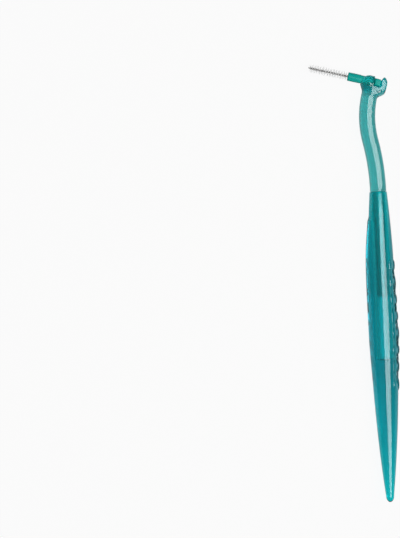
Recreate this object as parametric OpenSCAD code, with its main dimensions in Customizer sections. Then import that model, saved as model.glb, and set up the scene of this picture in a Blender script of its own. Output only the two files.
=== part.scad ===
// Interdental brush: a long handle with a bent neck, whose head holds a replaceable brush.
// The handle's axis lies along Y with the head towards +Y, the brush points to -X,
// and the whole brush is mirror-symmetric about the XY plane.
// The origin is on the handle's axis, at its widest place, where the fingers grip.

/* [Handle] */
// Length of the handle, from its rounded tip to the mouth that takes the neck
handle_len = 80.7; // [76:0.1:90]
// Distance from the tip to the widest place
belly_from_tip = 43.2; // [38:0.1:48]
// Diameter at the widest place
grip_d = 7.7; // [7:0.1:9]
// Diameter at the mouth
mouth_d = 4.5; // [4.3:0.05:5]
// Diameter where the rounded tip begins
tip_d = 2.1; // [1.6:0.1:2.8]
// Length of the rounded tip
tip_len = 1.6; // [1:0.1:2.4]
// Depth of the blind bore
bore_len = 43.2; // [32:0.1:50]
// Length of the bore's tapered end
bore_taper_len = 1; // [0.5:0.1:1.4]

/* [Thumb pad] */
// Height of the thumb pad above the spindle
pad_rise = 0.65; // [0:0.05:1]
// Distance from the mouth to the pad's upper edge
pad_from_mouth = 6.6; // [4:0.1:9]
// Length over which the upper edge rises
pad_edge = 4; // [2:0.1:6]
// Length of the whole pad
pad_len = 35; // [25:0.5:40]

/* [Droplets] */
// Height of a droplet above the spindle
drop_rise = 0.36; // [0.15:0.01:0.5]
// Distance between droplets along the handle
drop_pitch = 4.3; // [3.6:0.05:4.6]
// Droplets in the middle column
drop_count = 8; // [5:1:9]
// Distance from the mouth to the first droplet
drops_from_mouth = 17.4; // [14:0.1:20]
// Angle between neighbouring columns
drop_turn = 28; // [22:1:32]

/* [Neck] */
// Diameter of the neck
neck_d = 4.2; // [3.8:0.05:4.3]
// Radius of the long bend above the handle
lower_bend_r = 60; // [45:1:80]
// Angle of the long bend, towards the brush
lower_bend_deg = 12.8; // [8:0.1:16]
// Radius of the bend under the head
upper_bend_r = 25; // [20:0.5:32]
// Angle of the bend under the head, away from the brush
upper_bend_deg = 33.9; // [26:0.1:36]
// Diameter of the tang inside the handle
tang_d = 3.2; // [2.8:0.05:3.4]
// Length of the tang
tang_len = 26.8; // [18:0.1:30]
// Length of the tang's tapered end
tang_taper_len = 0.6; // [0.3:0.05:1]
// Room around the tang
tang_gap = 0.03; // [0.02:0.01:0.06]

/* [Head] */
// Angle by which the brush rises over square to the handle
brush_rise = 14.6; // [5:0.1:25]
// Diameter of the ball that the brush lies in
ball_d = 4.5; // [4.3:0.05:5]
// Depth of the ball's centre under the axis of the brush
ball_drop = 0.5; // [0.4:0.05:0.7]
// Distance from the crossbar's middle to the ball's centre
ball_ahead = 2.4; // [2.2:0.05:2.6]
// Radius of the round heel behind the ball
heel_r = 3.4; // [3.3:0.05:3.7]
// Width of the heel between its flat sides
heel_w = 4; // [3:0.05:4.1]
// Height of the heel's rim above the axis of the brush
heel_top = 1.9; // [1.6:0.05:2.1]
// Radius that rounds the top of the heel's rim
heel_top_r = 1.7; // [1.7:0.05:3]
// Distance from the crossbar's middle forward to the heel's centre
heel_ahead = 0.55; // [0.3:0.05:0.7]
// Depth of the heel's centre under the axis of the brush
heel_drop = 0.4; // [0.2:0.02:0.5]
// Distance from the crossbar's middle forward to the end of the neck's bend
neck_ahead = 1.39; // [1.2:0.01:1.6]
// Depth of the end of the neck's bend under the axis of the brush
neck_drop = 0.82; // [0.6:0.01:1]
// How much thicker than the neck the knuckle at its end is
knuckle_over = 0.1; // [0.06:0.02:0.2]
// Width of the curved slot under the seat
slot_w = 0.7; // [0.5:0.05:0.8]
// Radius of the slot's middle line about the heel's centre
slot_r = 2.2; // [2.1:0.05:2.3]
// Angle that the slot spans
slot_deg = 26; // [15:1:35]
// Angle of the slot's rear end below the axis of the brush
slot_start_deg = 42; // [38:1:48]

/* [Brush shaft] */
// Diameter where the shaft lies in the head
shaft_d = 1.9; // [1.7:0.01:2]
// Diameter of the part in front of the head
nose_d = 2.3; // [2:0.01:2.4]
// Distance from the crossbar's middle to the shaft's front face
shaft_reach = 8.1; // [7.6:0.1:10]
// Length of the part in front of the head
nose_len = 3.4; // [2.8:0.1:3.5]
// Chamfer around the front face
nose_chamfer = 0.12; // [0.05:0.01:0.2]
// Length of the stub behind the crossbar
stub_len = 0.3; // [0.1:0.05:0.4]
// Length of the crossbar, across the head
bar_len = 5.2; // [4.8:0.1:6]
// Width of the crossbar, along the shaft
bar_w = 1.6; // [1.4:0.05:1.8]
// Height of the crossbar
bar_h = 1.8; // [1.5:0.05:2]
// Room around the shaft in its channel
seat_gap = 0.04; // [0.02:0.01:0.08]
// Room around the crossbar in its notch
bar_gap = 0.08; // [0.05:0.01:0.12]

/* [Core wire] */
// Diameter of one leg of the folded wire
wire_d = 0.24; // [0.2:0.01:0.26]
// Distance from the twisted wire's axis to the middle of a leg
leg_r = 0.16; // [0.15:0.005:0.18]
// Length in which the legs turn once
twist_pitch = 1.4; // [1.2:0.05:2]
// Length of the wire in front of the shaft
wire_reach = 10.5; // [9:0.1:13]
// Length of the wire inside the shaft
wire_grip = 2.1; // [1.5:0.1:3]
// Room around the wire in the shaft
wire_gap = 0.02; // [0.01:0.01:0.04]

/* [Bristles] */
// Diameter over the bristles
brush_d = 2.2; // [1.8:0.1:3]
// Filaments, each of which gives two bristles
filament_count = 160; // [150:1:200]
// Thickness of a bristle at its end
filament_d = 0.05; // [0.04:0.005:0.06]
// Thickness of the row of filaments between the legs
nip_t = 0.06; // [0.04:0.005:0.06]
// Bare wire between the shaft and the bristles
bare_len = 0.35; // [0.2:0.05:1]
// Bare wire at the tip
tip_bare_len = 0.45; // [0.4:0.05:0.8]
// How far the filaments reach past the wire before they spread
nip_past = 0.02; // [0.01:0.005:0.04]

/* [Hidden] */
$fn = 64;
overrun = 1; // cuts run past their faces by this much

// Spindle: place between tip (-1), belly (0) and mouth (1), and radius. Below the belly the radius is a
// share of the grip's. Above it, it is the share of the way from the mouth's radius to the grip's.
spindle_shares = [
  [-0.82, 0.447], [-0.63, 0.634], [-0.44, 0.775], [-0.25, 0.885], [-0.12, 0.962], [0, 1],
  [0.2, 0.91], [0.45, 0.723], [0.67, 0.52], [0.84, 0.285], [1, 0],
];
mouth_y = handle_len - belly_from_tip;
tip_y = tip_len - belly_from_tip;
grip_r = grip_d / 2;
mouth_r = mouth_d / 2;
spindle = concat([[tip_len / belly_from_tip - 1, tip_d / grip_d]], spindle_shares);
bore_r = tang_d / 2 + tang_gap;

// Rings of the handle, from the mouth to the tip: even steps down to the droplets, a fixed number of
// steps to each droplet, longer steps below them, and steps that shorten round the tip
ring_step = 1.4;
drop_rings = 6; // rings to a droplet
drop_step = drop_pitch / drop_rings;
drops_y = mouth_y - drops_from_mouth;
drops_end_y = drops_y - drop_count * drop_pitch;
upper_rings = round(drops_from_mouth / ring_step);
lower_rings = 11;
tip_rings = 4;
ring_ys = concat(
  [for (i = [0:upper_rings - 1]) mouth_y - drops_from_mouth * i / upper_rings],
  [for (i = [0:drop_count * drop_rings - 1]) drops_y - drop_step * i],
  [for (i = [0:lower_rings - 1]) drops_end_y + (tip_y - drops_end_y) * i / lower_rings],
  [for (i = [0:tip_rings - 1]) tip_y - tip_len * sin(90 * i / tip_rings)]
);

// Sides of the handle: a third of a column's turn over the droplets, wider steps round the back
outer_column = 2; // columns on each side of the middle one
fine_sides = 16;
coarse_sides = 14;
fine_turn = drop_turn / 3;
fine_half = fine_turn * fine_sides / 2;
side_turns = concat(
  [for (j = [0:fine_sides]) fine_turn * j - fine_half],
  [for (j = [1:coarse_sides - 1]) fine_half + (360 - 2 * fine_half) * j / coarse_sides]
);
outer_drop_share = 0.7; // height of the outer columns
drop_width_share = 0.8; // half width of a droplet, in column turns
dome_share = 0.55; // roundness of a droplet: 0.5 is a half ellipse
pad_flat_turn = 32; // the pad keeps its full height to this angle on each side
pad_fade_turn = 34; // and fades out over this angle
pad_fade_share = 0.7; // share of the pad's length over which it fades into the spindle

// Head, in its own frame: origin in the crossbar's middle, x to the rear along the shaft, y up,
// the way the brush lifts out
channel_r = shaft_d / 2 + seat_gap;
channel_ease = 0.02; // the channel's walls stand this much wider than its round bed
notch_front = bar_w / 2 + bar_gap;
heel_face = bar_w / 2 + stub_len + bar_gap;
floor_y = -bar_h / 2 - bar_gap;
head_reach = ball_ahead + ball_d; // how far cuts must reach to pass the ball
rod_sides = 32;
lower_steps = 8; // rings in the long bend
upper_steps = 16; // rings in the bend under the head
lower_centre = [-lower_bend_r, mouth_y];
bend_start = lower_centre + lower_bend_r * [cos(lower_bend_deg), sin(lower_bend_deg)];
upper_centre = bend_start + upper_bend_r * [cos(lower_bend_deg), sin(lower_bend_deg)];
bend_end_deg = 180 + lower_bend_deg - upper_bend_deg;
neck_end = upper_centre + upper_bend_r * [cos(bend_end_deg), sin(bend_end_deg)];
head_origin = neck_end + [
  neck_ahead * cos(brush_rise) + neck_drop * sin(brush_rise),
  neck_drop * cos(brush_rise) - neck_ahead * sin(brush_rise),
];

// Twisted wire and bristles, in the head's frame
wire_r = leg_r + wire_d / 2; // radius round both legs
leg_sides = 6;
leg_rings = 10; // rings to a turn
fold_rings = 5; // rings round the fold at the tip
leg_len = wire_grip + wire_reach - wire_r;
leg_steps = round(leg_len / twist_pitch * leg_rings);
leg_end_x = -shaft_reach - wire_reach + wire_r;
leg_start_x = leg_end_x + leg_len;
nip_w = 2 * (wire_r + nip_past);
row_start_x = -shaft_reach - bare_len;
row_len = wire_reach - bare_len - tip_bare_len;
row_pitch = row_len / filament_count;

function smooth(t) = let (u = min(max(t, 0), 1)) u * u * (3 - 2 * u);

// Cubic curve through a table of [place, value] rows, with each row's slope taken from its neighbours
function slope(table, i) =
  let (a = max(i - 1, 0), b = min(i + 1, len(table) - 1))
  (table[b][1] - table[a][1]) / (table[b][0] - table[a][0]);
function curve(table, x, i = 0) =
  i < len(table) - 2 && x > table[i + 1][0] ? curve(table, x, i + 1)
  : let (h = table[i + 1][0] - table[i][0], u = (x - table[i][0]) / h)
    table[i][1] * (1 + 2 * u) * (1 - u) * (1 - u) + table[i + 1][1] * u * u * (3 - 2 * u)
    + h * u * (1 - u) * (slope(table, i) * (1 - u) - slope(table, i + 1) * u);

// Radius of the plain spindle at y
function spindle_r(y) =
  y > 0 ? mouth_r + (grip_r - mouth_r) * curve(spindle, y / mouth_y)
  : y > tip_y ? grip_r * curve(spindle, y / belly_from_tip)
  : tip_d / 2 * sqrt(1 - pow((tip_y - y) / tip_len, 2));

// Thumb pad on the brush's side of the handle: a short edge at the top, a long fade at the bottom
function pad_h(y, turn) =
  let (d = mouth_y - pad_from_mouth - y, off = abs(turn - 180))
  pad_rise * smooth(d / pad_edge) * smooth((pad_len - d) / (pad_len * pad_fade_share))
  * (1 - smooth((off - pad_flat_turn) / pad_fade_turn));

// Droplets on the far side: columns of domes, every second column set half a pitch lower
function dome(q) = q < 1 ? pow(1 - q, dome_share) : 0;
function drop_h(y, turn, column) =
  let (
    odd = abs(column) % 2,
    count = drop_count - odd,
    along = (drops_y - y) / drop_pitch - odd / 2,
    row = min(max(floor(along), 0), count - 1),
    u = 2 * (along - row) - 1,
    w = (turn / drop_turn - column) / drop_width_share
  )
  (abs(column) == outer_column ? outer_drop_share : 1) * dome(u * u + w * w);
function drops_h(y, turn) =
  abs(turn) > fine_half ? 0
  : drop_rise * max([for (c = [-outer_column:outer_column]) drop_h(y, turn, c)]);

function side_point(y, turn) =
  let (r = spindle_r(y) + pad_h(y, turn) + drops_h(y, turn))
  [r * cos(turn), y, r * sin(turn)];

// Triangles of a skin over rings of n points each, clockwise from outside
function skin(rings, n) = [
  for (i = [0:rings - 2], j = [0:n - 1])
    let (a = i * n + j, b = i * n + (j + 1) % n)
    each [[a, b + n, b], [a, a + n, b + n]]
];
function start_cap(n) = [[for (j = [0:n - 1]) j]];
function end_cap(rings, n) = [[for (j = [n - 1:-1:0]) (rings - 1) * n + j]];
function fan_to(point, rings, n) = [
  for (j = [0:n - 1]) [(rings - 1) * n + j, point, (rings - 1) * n + (j + 1) % n]
];

module handle_skin() {
  n = len(side_turns);
  rings = len(ring_ys);
  points = concat(
    [for (y = ring_ys, turn = side_turns) side_point(y, turn)],
    [[0, -belly_from_tip, 0]]
  );
  polyhedron(points, concat(start_cap(n), skin(rings, n), fan_to(rings * n, rings, n)));
}

// Spindle with its thumb pad and droplets, bored blind from the mouth, with a tapered end to the bore
module handle() {
  color("darkcyan") difference() {
    handle_skin();
    translate([0, mouth_y + overrun, 0]) rotate([90, 0, 0])
      cylinder(h = bore_len - bore_taper_len + overrun, r = bore_r);
    translate([0, mouth_y - bore_len + bore_taper_len, 0]) rotate([90, 0, 0])
      cylinder(h = bore_taper_len, r1 = bore_r, r2 = bore_r - bore_taper_len);
  }
}

// Tang: plain cylinder with a tapered end
module tang() {
  translate([0, mouth_y, 0]) rotate([90, 0, 0]) cylinder(h = tang_len - tang_taper_len, d = tang_d);
  translate([0, mouth_y - tang_len + tang_taper_len, 0]) rotate([90, 0, 0])
    cylinder(h = tang_taper_len, d1 = tang_d, d2 = tang_d - tang_taper_len);
}

// Ring of the rod at an angle of a bend, with its first point on the side away from the brush
function rod_ring(centre, r, deg, away) =
  let (out = [cos(deg), sin(deg), 0])
  [
    for (k = [0:rod_sides - 1])
      let (a = 360 * k / rod_sides)
      [centre[0], centre[1], 0] + r * out + neck_d / 2 * (cos(a) * away * out - sin(a) * [0, 0, 1])
  ];

// Round rod of the neck: a long bend towards the brush, then a tighter one back under the head
module rod() {
  rings = concat(
    [for (i = [0:lower_steps - 1]) rod_ring(lower_centre, lower_bend_r, lower_bend_deg * i / lower_steps, 1)],
    [
      for (i = [0:upper_steps])
        rod_ring(upper_centre, upper_bend_r, 180 + lower_bend_deg - upper_bend_deg * i / upper_steps, -1)
    ]
  );
  polyhedron(
    [for (ring = rings) each ring],
    concat(
      start_cap(rod_sides), skin(len(rings), rod_sides), end_cap(len(rings), rod_sides)
    )
  );
}

// Turns the head's frame into the brush's
module at_head() {
  translate(head_origin) rotate([0, 0, -brush_rise]) children();
}

// Heel behind the ball: a sphere with flat sides, open in front of its face down to the notch's floor
module heel() {
  difference() {
    intersection() {
      translate([-heel_ahead, -heel_drop, 0]) sphere(r = heel_r);
      translate([heel_face, heel_top - heel_top_r, -heel_w / 2]) {
        cylinder(h = heel_w, r = heel_top_r);
        translate([-neck_ahead - heel_face, -head_reach, 0])
          cube([neck_ahead + heel_face + heel_top_r, head_reach, heel_w]);
      }
    }
    translate([heel_face - head_reach, floor_y, -head_reach / 2])
      cube([head_reach, head_reach, head_reach]);
  }
}

// Curved slot that lets the heel give
module relief_slot() {
  translate([-heel_ahead, -heel_drop, -ball_d]) {
    rotate([0, 0, -slot_start_deg - slot_deg]) rotate_extrude(angle = slot_deg)
      translate([slot_r - slot_w / 2, 0]) square([slot_w, 2 * ball_d]);
    for (end_deg = [slot_start_deg, slot_start_deg + slot_deg])
      rotate([0, 0, -end_deg]) translate([slot_r, 0, 0]) cylinder(h = 2 * ball_d, d = slot_w);
  }
}

// Bed of the shaft, open at the top, and the notch of the crossbar right across the head
module seat() {
  translate([-head_reach, 0, 0]) rotate([0, 90, 0])
    cylinder(h = head_reach + heel_face, r = channel_r);
  translate([-head_reach, 0, -channel_r - channel_ease])
    cube([head_reach + heel_face, head_reach, 2 * (channel_r + channel_ease)]);
  translate([-notch_front, floor_y, -head_reach / 2])
    cube([notch_front + heel_face, head_reach, head_reach]);
}

// Neck moulding: tang, two bends, knuckle, ball and heel, with the seat and the slot cut out
module neck() {
  color("mediumaquamarine") {
    tang();
    difference() {
      union() {
        rod();
        at_head() {
          translate([-ball_ahead, -ball_drop, 0]) rotate([90, 0, 0]) sphere(d = ball_d);
          translate([-neck_ahead, -neck_drop, 0]) rotate([90, 0, 0]) sphere(d = neck_d + knuckle_over);
          heel();
        }
      }
      at_head() seat();
      at_head() relief_slot();
    }
  }
}

// Brush shaft: round, with a crossbar near its rear end and a hole for the wire in its front face
module brush_shaft() {
  color("lightseagreen") at_head() difference() {
    union() {
      translate([nose_len - shaft_reach, 0, 0]) rotate([0, 90, 0])
        cylinder(h = shaft_reach - nose_len + bar_w / 2 + stub_len, d = shaft_d);
      translate([nose_chamfer - shaft_reach, 0, 0]) rotate([0, 90, 0])
        cylinder(h = nose_len - nose_chamfer, d = nose_d);
      translate([-shaft_reach, 0, 0]) rotate([0, 90, 0])
        cylinder(h = nose_chamfer, d1 = nose_d - 2 * nose_chamfer, d2 = nose_d);
      intersection() {
        cube([bar_w, bar_h, bar_len], center = true);
        sphere(r = bar_len / 2 + bar_w / 8);
      }
    }
    translate([-shaft_reach - overrun, 0, 0]) rotate([0, 90, 0])
      cylinder(h = wire_grip + wire_gap + overrun, r = wire_r + wire_gap);
  }
}

// Twist of the wire at x: the legs lie at this angle and opposite it
function twist_at(x) = (leg_start_x - x) / twist_pitch * 360;
function across(turn) = [0, cos(turn), sin(turn)];

// Ring of a tube round the place p, with its normal n and travel t
function tube_ring(p, n, t) = [
  for (k = [0:leg_sides - 1])
    let (a = 360 * k / leg_sides)
    p + wire_d / 2 * (cos(a) * n + sin(a) * cross(t, n))
];

// Rings along one leg, towards the tip or back from it
function leg_ring(i, back) =
  let (
    x = leg_start_x - leg_len * i / leg_steps,
    turn = twist_at(x) + (back ? 180 : 0),
    n = across(turn),
    rise = 2 * PI * leg_r / twist_pitch,
    t = (back ? -1 : 1) * [-1, 0, 0] + (back ? -1 : 1) * rise * across(turn + 90)
  )
  tube_ring([x, 0, 0] + leg_r * n, n, t / norm(t));
function fold_ring(i) =
  let (
    a = 180 * i / fold_rings,
    up = across(twist_at(leg_end_x)),
    n = sin(a) * [-1, 0, 0] + cos(a) * up,
    t = cos(a) * [-1, 0, 0] - sin(a) * up
  )
  tube_ring([leg_end_x, 0, 0] + leg_r * n, n, t);

// One wire, folded at the tip, with its two legs twisted together
module core_wire() {
  rings = concat(
    [for (i = [0:leg_steps]) leg_ring(i, false)],
    [for (i = [1:fold_rings - 1]) fold_ring(i)],
    [for (i = [leg_steps:-1:0]) leg_ring(i, true)]
  );
  color("silver") at_head() polyhedron(
    [for (ring = rings) each ring],
    concat(
      start_cap(leg_sides), skin(len(rings), leg_sides), end_cap(len(rings), leg_sides)
    )
  );
}

// Row of filaments nipped between the legs: a thin twisted band, which grows a bristle from each edge at
// every filament. Ring i of the band, and the four end corners of a bristle on one side
function band_x(i) = row_start_x - row_pitch * i / 2;
function band_ring(i) =
  let (turn = twist_at(band_x(i)), n = nip_t / 2 * across(turn), b = -nip_w / 2 * across(turn + 90))
  [for (c = [n + b, b - n, -n - b, n - b]) [band_x(i), 0, 0] + c];
function bristle_end(f, side) =
  let (
    x = band_x(2 * f) - row_pitch / 4,
    turn = twist_at(x),
    n = filament_d / 2 * across(turn) * side,
    b = -brush_d / 2 * across(turn + 90) * side,
    l = filament_d / 2
  )
  [[x + l, 0, 0] + b + n, [x + l, 0, 0] + b - n, [x - l, 0, 0] + b - n, [x - l, 0, 0] + b + n];
function two(a, b, c, d) = [[a, c, b], [a, d, c]];
function bristle_faces(root, end) = concat(
  two(root[0], root[1], end[1], end[0]), two(root[1], root[2], end[2], end[1]),
  two(root[2], root[3], end[3], end[2]), two(root[3], root[0], end[0], end[3]),
  two(end[0], end[1], end[2], end[3])
);

module bristles() {
  rings = 2 * filament_count;
  ends = 4 * rings; // index of the first bristle end
  points = concat(
    [for (i = [0:rings - 1]) each band_ring(i)],
    [for (f = [0:filament_count - 1]) each concat(bristle_end(f, 1), bristle_end(f, -1))]
  );
  faces = concat(
    start_cap(4), end_cap(rings, 4),
    [for (i = [0:rings - 2], j = [1, 3])
      each two(4 * i + j, 4 * i + (j + 1) % 4, 4 * i + 4 + (j + 1) % 4, 4 * i + 4 + j)],
    [for (i = [1:2:rings - 2], j = [0, 2])
      each two(4 * i + j, 4 * i + j + 1, 4 * i + 5 + j, 4 * i + 4 + j)],
    [for (f = [0:filament_count - 1], s = [0, 1])
      let (a = 8 * f + 2 * s, e = ends + 8 * f + 4 * s)
      each bristle_faces([a, a + 1, a + 5, a + 4], [e, e + 1, e + 2, e + 3])]
  );
  color("whitesmoke") at_head() polyhedron(points, faces);
}

handle();
neck();
brush_shaft();
core_wire();
bristles();
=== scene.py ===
"""Interdental brush: the finished looks of a two-part holder and its clicked-in wire brush.

The brush lies on its side: the handle's axis is Y, with the head towards +Y, the wire brush points
to -X, and both halves about the XY plane are alike. All sizes are in metres.
"""

import math

import bpy
import numpy as np
from bpy.props import FloatProperty, FloatVectorProperty, IntProperty, PointerProperty
from mathutils import Matrix, Vector


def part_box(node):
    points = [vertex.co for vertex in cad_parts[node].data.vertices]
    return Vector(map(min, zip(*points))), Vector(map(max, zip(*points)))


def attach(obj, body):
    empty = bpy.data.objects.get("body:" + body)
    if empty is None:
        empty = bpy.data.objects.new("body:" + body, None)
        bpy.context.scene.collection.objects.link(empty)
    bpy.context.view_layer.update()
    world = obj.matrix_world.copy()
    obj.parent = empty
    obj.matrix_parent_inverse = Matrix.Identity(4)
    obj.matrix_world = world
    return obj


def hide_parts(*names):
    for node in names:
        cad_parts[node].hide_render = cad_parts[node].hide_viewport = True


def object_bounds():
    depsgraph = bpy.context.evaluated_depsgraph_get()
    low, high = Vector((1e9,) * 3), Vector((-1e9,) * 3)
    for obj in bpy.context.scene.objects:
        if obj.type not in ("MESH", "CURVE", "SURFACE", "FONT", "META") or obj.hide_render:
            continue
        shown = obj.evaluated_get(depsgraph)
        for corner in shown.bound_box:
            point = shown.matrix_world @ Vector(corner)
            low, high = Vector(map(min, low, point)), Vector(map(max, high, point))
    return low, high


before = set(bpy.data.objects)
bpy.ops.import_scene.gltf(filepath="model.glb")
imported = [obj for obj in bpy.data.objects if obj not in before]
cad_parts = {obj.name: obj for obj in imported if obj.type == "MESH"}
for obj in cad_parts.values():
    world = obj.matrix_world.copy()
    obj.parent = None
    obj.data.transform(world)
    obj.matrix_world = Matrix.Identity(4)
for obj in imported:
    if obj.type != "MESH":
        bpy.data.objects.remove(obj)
cad_box = [list(corner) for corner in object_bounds()]
HANDLE_LOW, HANDLE_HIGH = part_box("handle")

bl_info = {
    "name": "Interdental Brush",
    "version": (1, 0, 0),
    "blender": (4, 5, 0),
    "location": "View3D > Sidebar > Brush",
    "description": "Builds an interdental brush: droplet-studded handle, bent neck and twisted wire brush",
    "category": "Add Mesh",
}


def length(name, default, description):
    """A size in metres."""
    return FloatProperty(
        name=name, default=default, description=description,
        min=0.0, precision=5, subtype="DISTANCE", unit="LENGTH",
    )  # fmt: skip


def angle(name, degrees, description):
    """An angle, written in degrees and kept in radians."""
    return FloatProperty(name=name, default=math.radians(degrees), description=description, subtype="ANGLE")


def number(name, default, description, least=0.0):
    """A plain number that isn't below the least."""
    return FloatProperty(name=name, default=default, description=description, min=least)


def tint(name, default, description):
    """A linear colour."""
    return FloatVectorProperty(
        name=name, default=default, description=description, subtype="COLOR", size=3, min=0.0, max=1.0
    )


class HandleSettings(bpy.types.PropertyGroup):
    """Sizes of the handle moulding."""

    length: length("Length", HANDLE_HIGH.y - HANDLE_LOW.y, "From the rounded tip to the mouth")
    mouth_y: length("Mouth", HANDLE_HIGH.y, "Distance of the mouth from the widest place")
    grip_d: length("Grip diameter", 0.0077, "Diameter at the widest place")
    mouth_d: length("Mouth diameter", 0.0045, "Diameter at the mouth")
    tip_d: length("Tip diameter", 0.0021, "Diameter where the rounded tip begins")
    tip_len: length("Tip length", 0.0016, "Length of the rounded tip")
    bore_d: length("Bore diameter", 0.00326, "Diameter of the blind bore that takes the tang")
    bore_len: length("Bore depth", 0.0436, "Depth of the blind bore")
    pad_rise: length("Pad rise", 0.00065, "Height of the thumb pad above the spindle")
    pad_from_mouth: length("Pad from mouth", 0.0062, "Distance from the mouth to the pad's upper edge")
    pad_step: length("Pad step", 0.0016, "Length of the step at the upper edge")
    pad_edge: length("Pad edge", 0.011, "Length over which the pad comes to its full height")
    pad_len: length("Pad length", 0.035, "Length of the whole pad")
    drop_rise: length("Droplet rise", 0.00034, "Height of a droplet above its bed")
    drop_bed: length("Droplet bed", 0.00017, "Depth of the bed of the droplets below the spindle")
    drop_pitch: length("Droplet pitch", 0.0044, "Distance between droplets along the handle")
    drop_count: IntProperty(name="Droplets", default=8, min=1, description="Droplets in the middle column")
    drops_from_mouth: length("Droplets from mouth", 0.0170, "Distance from the mouth to the first droplet")
    drop_turn: angle("Column turn", 22.5, "Angle between neighbouring columns of droplets")


class NeckSettings(bpy.types.PropertyGroup):
    """Sizes of the neck moulding and its head."""

    neck_d: length("Neck diameter", 0.0042, "Diameter of the bent rod")
    squareness: number("Squareness", 2.8, "Power of the rod's rear half, 2 for a circle", least=2.0)
    tang_d: length("Tang diameter", 0.0032, "Diameter of the tang inside the handle")
    tang_len: length("Tang length", 0.0273, "Length of the tang")
    lower_r: length("Long bend radius", 0.060, "Radius of the long bend above the handle")
    lower_turn: angle("Long bend", 12.8, "Turn towards the brush")
    upper_r: length("Short bend radius", 0.025, "Radius of the bend under the head")
    upper_turn: angle("Short bend", 33.9, "Turn away from the brush")
    brush_rise: angle("Brush rise", 14.6, "Angle by which the brush rises over square to the handle")
    ball_d: length("Ball diameter", 0.0045, "Diameter of the ball that the brush lies in")
    ball_ahead: length("Ball ahead", 0.0024, "From the head's middle forward to the ball's centre")
    ball_drop: length("Ball drop", 0.0005, "Depth of the ball's centre under the brush's axis")
    heel_r: length("Heel radius", 0.0034, "Radius of the round heel behind the ball")
    heel_w: length("Heel width", 0.0040, "Width of the heel between its flat sides")
    heel_top: length("Heel top", 0.0019, "Height of the heel above the brush's axis")
    heel_top_r: length("Heel top radius", 0.0017, "Radius that rounds the heel's top")
    heel_ahead: length("Heel ahead", 0.00055, "From the head's middle forward to the heel's centre")
    heel_drop: length("Heel drop", 0.0004, "Depth of the heel's centre under the brush's axis")
    heel_face: length("Heel face", 0.00066, "From the head's middle back to the heel's face")
    lead_in: length("Lead-in", 0.0008, "Height over the brush's axis where the heel's face leans back")
    neck_ahead: length("Rod end ahead", 0.00139, "From the head's middle forward to the rod's end")
    neck_drop: length("Rod end drop", 0.00082, "Depth of the rod's end under the brush's axis")
    notch_front: length("Notch front", 0.00108, "From the head's middle forward to the notch's wall")
    floor_drop: length("Notch floor", 0.00098, "Depth of the notch's floor under the brush's axis")
    channel_r: length("Channel radius", 0.00106, "Radius of the bed that the shaft lies in")
    slot_r: length("Slot radius", 0.0022, "Radius of the relief slot about the heel's centre")
    slot_w: length("Slot width", 0.00018, "Width of the relief slot")
    slot_start: angle("Slot start", 42, "Rear end of the slot")
    slot_turn: angle("Slot turn", 26, "Angle that the slot spans")
    cell: length("Cell", 0.00008, "Spacing of the grid that the head's surface is found on")


class BrushSettings(bpy.types.PropertyGroup):
    """Sizes of the replaceable brush."""

    nose_d: length("Nose diameter", 0.00226, "Diameter of the shaft in front of the head")
    shaft_d: length("Seat diameter", 0.00213, "Diameter of the shaft inside the head")
    reach: length("Shaft reach", 0.0081, "From the head's middle to the shaft's front face")
    nose_len: length("Nose length", 0.0034, "Length of the part in front of the head")
    stub_end: length("Stub end", 0.0005, "From the head's middle to the shaft's rear face")
    bar_len: length("Crossbar length", 0.0052, "Length of the crossbar, across the head")
    bar_ahead: length("Crossbar ahead", 0.00021, "From the head's middle forward to the crossbar's")
    bar_w: length("Crossbar width", 0.0015, "Width of the crossbar, along the shaft")
    bar_h: length("Crossbar height", 0.0018, "Height of the crossbar")
    wire_d: length("Wire diameter", 0.00024, "Diameter of one leg of the folded wire")
    leg_r: length("Leg offset", 0.00016, "From the twisted wire's axis to the middle of a leg")
    twist_pitch: length("Twist pitch", 0.0014, "Length in which the legs turn once")
    wire_reach: length("Wire reach", 0.0105, "Length of the wire in front of the shaft")
    wire_grip: length("Wire grip", 0.0021, "Length of the wire inside the shaft")
    brush_d: length("Bristle diameter", 0.0022, "Diameter over the bristles")
    bristle_d: length("Bristle thickness", 0.00004, "Thickness of a bristle at its root")
    bare_len: length("Bare wire", 0.00035, "Bare wire between the shaft and the bristles")
    tip_bare: length("Bare tip", 0.00045, "Bare wire at the tip")
    filaments: IntProperty(name="Filaments", default=300, min=1, description="Each gives two bristles")


class FinishSettings(bpy.types.PropertyGroup):
    """Colours of the plastics, and how strongly depth tints them."""

    handle_tint: tint("Handle tint", (0.005, 0.91, 0.92), "What one pass through the handle's skin keeps")
    handle_deep: tint("Handle depth", (0.0, 0.86, 0.88), "Colour of the light left deep in the handle")
    handle_density: number("Handle density", 1100.0, "How strongly depth tints the handle, per metre")
    neck_tint: tint("Neck tint", (0.56, 0.86, 0.86), "What one pass through the neck's skin keeps")
    neck_deep: tint("Neck depth", (0.1, 0.74, 0.74), "Colour of the light left deep in the neck")
    neck_density: number("Neck density", 560.0, "How strongly depth tints the neck, per metre")
    shaft: tint("Shaft", (0.001, 0.37, 0.32), "Colour of the brush's moulded shaft")


class StageSettings(bpy.types.PropertyGroup):
    """Where the camera stands over the brush."""

    centre: FloatVectorProperty(
        name="Centre", default=(-0.04707, 0.01929), size=2, unit="LENGTH", description="Middle of the view"
    )
    tall: length("Height", 0.13988, "Height of the view at the brush's middle plane")
    away: length("Distance", 0.9, "Height of the camera over the brush's middle plane")
    roll: angle("Roll", -2.26, "Turn of the view")


# Shapes


def smooth(t):
    """0 below 0, 1 above 1, and between them the cubic with level ends."""
    u = np.clip(t, 0.0, 1.0)
    return u * u * (3 - 2 * u)


def lesser(a, b, k):
    """Lesser of two fields, rounded off where they are within k of each other by a parabola."""
    near = np.clip(k - np.abs(a - b), 0, None)
    return np.minimum(a, b) - near * near / (4 * k)


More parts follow.
